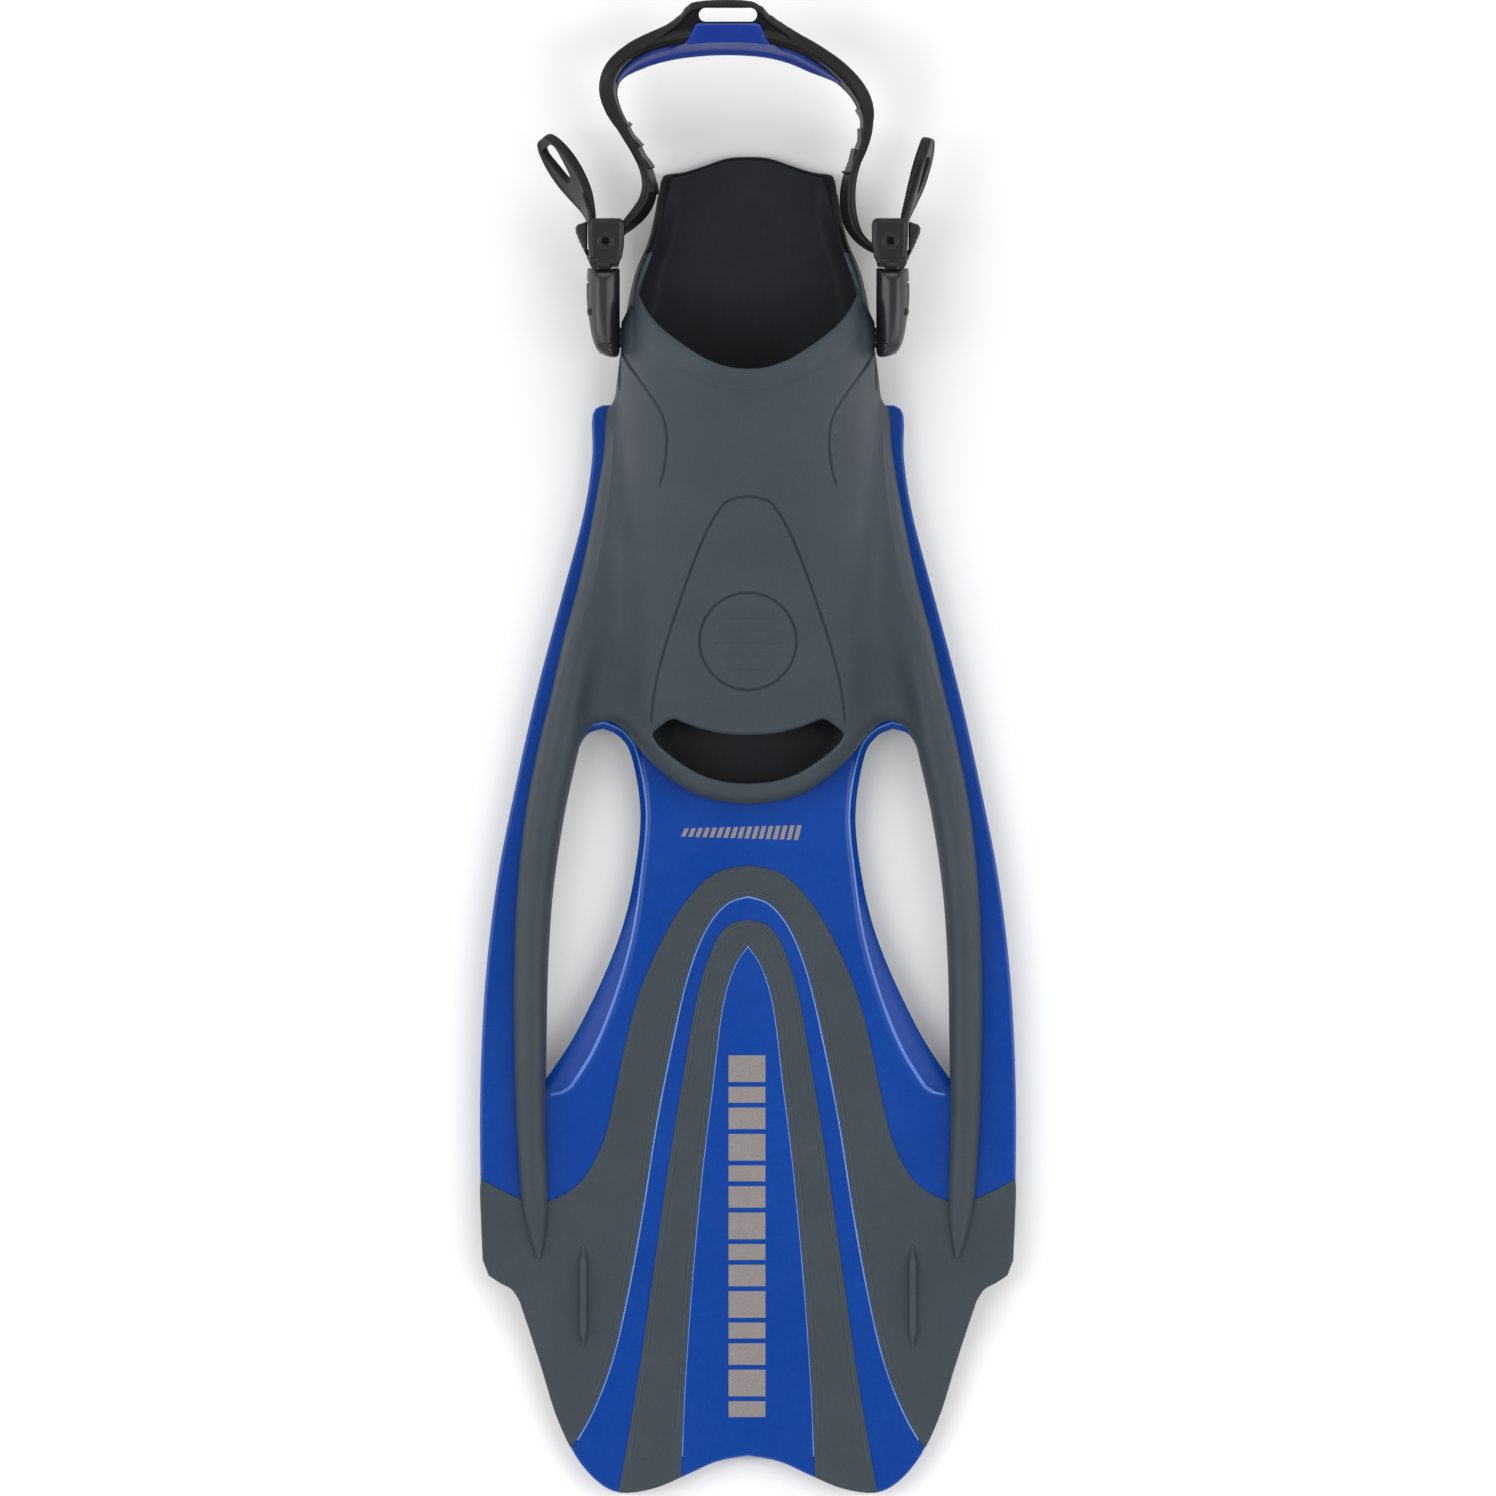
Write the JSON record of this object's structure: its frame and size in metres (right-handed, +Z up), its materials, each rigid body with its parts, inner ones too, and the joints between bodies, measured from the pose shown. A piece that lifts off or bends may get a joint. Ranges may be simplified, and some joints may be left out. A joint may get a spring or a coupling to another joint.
{
  "type": "swim fin",
  "caption": "Open-heel swim fin: vented, channelled blade with rubber rails, instep pocket with toe window, swivelling quick-release ratchet buckles and a padded heel strap with pull loop.",
  "frame": {"origin": "on the floor under the middle of the fin's overall length and width", "axes": "+Y along the fin towards the heel strap, +Z up out of the instep, X across the blade"},
  "size_m": [0.2094, 0.582, 0.0797],
  "materials": {
    "blue_plastic": "satin, fine moulded grain",
    "grey_rubber": "matt",
    "black_rubber": "matt",
    "liner": "matt, ribbed",
    "dark_plastic": "satin",
    "buckle_plastic": "satin",
    "steel": "bright",
    "strap_rubber": "matt",
    "blue_rubber": "matt"
  },
  "bodies": {
    "fin": {"blade_core": "blue_plastic", "foot_pocket": "grey_rubber", "heel_tray": "black_rubber", "footbed": "liner", "left_side_rail": "grey_rubber", "right_side_rail": "grey_rubber", "outer_channel": "grey_rubber", "inner_channel": "grey_rubber", "left_swivel_post": "dark_plastic", "right_swivel_post": "dark_plastic"},
    "left_receiver": {"left_receiver": "buckle_plastic"},
    "right_receiver": {"right_receiver": "buckle_plastic"},
    "left_tab": {"left_release_tab": "dark_plastic"},
    "right_tab": {"right_release_tab": "dark_plastic"},
    "strap": {"heel_strap": "strap_rubber", "heel_pad": "blue_rubber", "left_buckle_frame": "dark_plastic", "right_buckle_frame": "dark_plastic", "left_roller_pin": "steel", "right_roller_pin": "steel", "left_lever_spring": "steel", "right_lever_spring": "steel"},
    "left_roller": {"left_strap_roller": "buckle_plastic"},
    "right_roller": {"right_strap_roller": "buckle_plastic"},
    "left_lever": {"left_ratchet_lever": "dark_plastic"},
    "right_lever": {"right_ratchet_lever": "dark_plastic"}
  },
  "joints": [
    {"name": "strap_swing", "type": "hinge", "parent": "fin", "child": "left_receiver", "pos_m": [-0.05, 0.16, 0.033], "axis": [1, 0, 0], "range_deg": [0, 115]},
    {"name": "right_receiver_swing", "type": "hinge", "parent": "fin", "child": "right_receiver", "pos_m": [0.05, 0.16, 0.033], "axis": [1, 0, 0], "range_deg": [0, 115]},
    {"name": "quick_release", "type": "slide", "parent": "left_receiver", "child": "strap", "axis": [0, 1, 0], "range_m": [0, 0.022]},
    {"name": "left_tab_press", "type": "hinge", "parent": "left_receiver", "child": "left_tab", "pos_m": [-0.0612, 0.17, 0.033], "axis": [0, 0, 1], "range_deg": [0, 4], "stiffness_Nm_per_rad": 0.05},
    {"name": "left_lever_lift", "type": "hinge", "parent": "strap", "child": "left_lever", "pos_m": [-0.0602, 0.1898, 0.033], "axis": [0, 0, 1], "range_deg": [0, 30], "stiffness_Nm_per_rad": 0.02, "deforming": ["left_lever_spring"]},
    {"name": "left_roller_spin", "type": "hinge", "parent": "strap", "child": "left_roller", "pos_m": [-0.0555, 0.1976, 0.033], "axis": [0, 0, 1], "continuous": true},
    {"name": "right_tab_press", "type": "hinge", "parent": "right_receiver", "child": "right_tab", "pos_m": [0.0612, 0.17, 0.033], "axis": [0, 0, -1], "range_deg": [0, 4], "stiffness_Nm_per_rad": 0.05},
    {"name": "right_lever_lift", "type": "hinge", "parent": "strap", "child": "right_lever", "pos_m": [0.0602, 0.1898, 0.033], "axis": [0, 0, -1], "range_deg": [0, 30], "stiffness_Nm_per_rad": 0.02, "deforming": ["right_lever_spring"]},
    {"name": "right_roller_spin", "type": "hinge", "parent": "strap", "child": "right_roller", "pos_m": [0.0555, 0.1976, 0.033], "axis": [0, 0, 1], "continuous": true}
  ],
  "couplings": [
    {"joint": "right_receiver_swing", "follows": "strap_swing", "ratio": 1}
  ]
}
